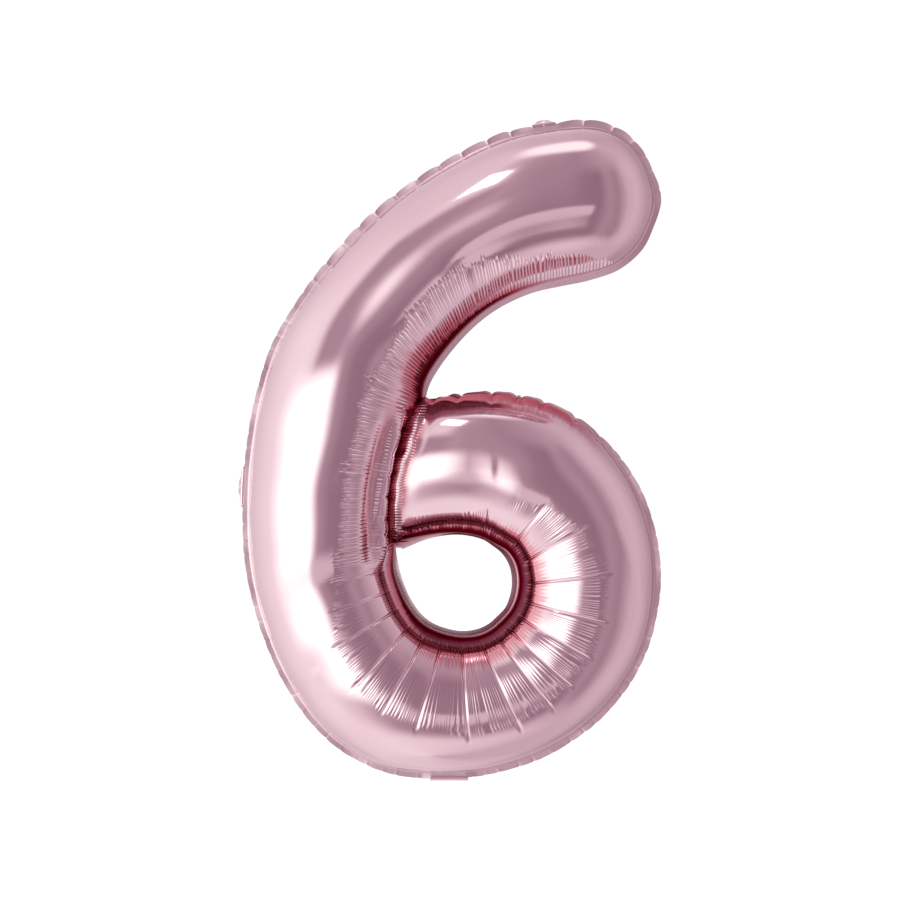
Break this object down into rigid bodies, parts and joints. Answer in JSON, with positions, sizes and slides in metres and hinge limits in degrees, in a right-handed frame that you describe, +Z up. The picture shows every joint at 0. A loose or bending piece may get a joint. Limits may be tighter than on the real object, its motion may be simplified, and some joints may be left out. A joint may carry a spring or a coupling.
{
  "type": "foil number balloon",
  "caption": "Inflated metallised film balloon in the form of the numeral six, with hanging ears and a fill tail folded behind.",
  "frame": {"origin": "middle of the neck at the bottom edge of the weld, in the plane of the seam", "axes": "+Z up the numeral, +X to the numeral's right seen from the front, -Y out of the front"},
  "size_m": [0.5506, 0.1786, 0.861],
  "materials": {
    "rose_gold_film": "mirror-gloss rose-gold metallised plastic film, finely wrinkled",
    "clear_valve_film": "clear limp polyethylene film"
  },
  "bodies": {
    "envelope": {"front_film": "rose_gold_film", "back_film": "rose_gold_film", "valve_front_ply": "clear_valve_film", "valve_back_ply": "clear_valve_film"},
    "fill_tail": {"tail_front_film": "rose_gold_film", "tail_back_film": "rose_gold_film"},
    "top_tab": {"top_hang_tab": "rose_gold_film"},
    "side_tab": {"side_hang_tab": "rose_gold_film"}
  },
  "joints": [
    {"name": "tail_fold", "type": "hinge", "parent": "envelope", "child": "fill_tail", "pos_m": [0, 0, -0.0044], "axis": [-1, 0, 0], "range_deg": [0, 180]},
    {"name": "top_tab_flex", "type": "hinge", "parent": "envelope", "child": "top_tab", "pos_m": [0.12288, 0, 0.84816], "axis": [0.9902, 0, 0.1394], "range_deg": [-17, 153]},
    {"name": "side_tab_flex", "type": "hinge", "parent": "envelope", "child": "side_tab", "pos_m": [-0.26911, 0, 0.37716], "axis": [0.0471, 0, 0.9989], "range_deg": [-11, 159]}
  ]
}
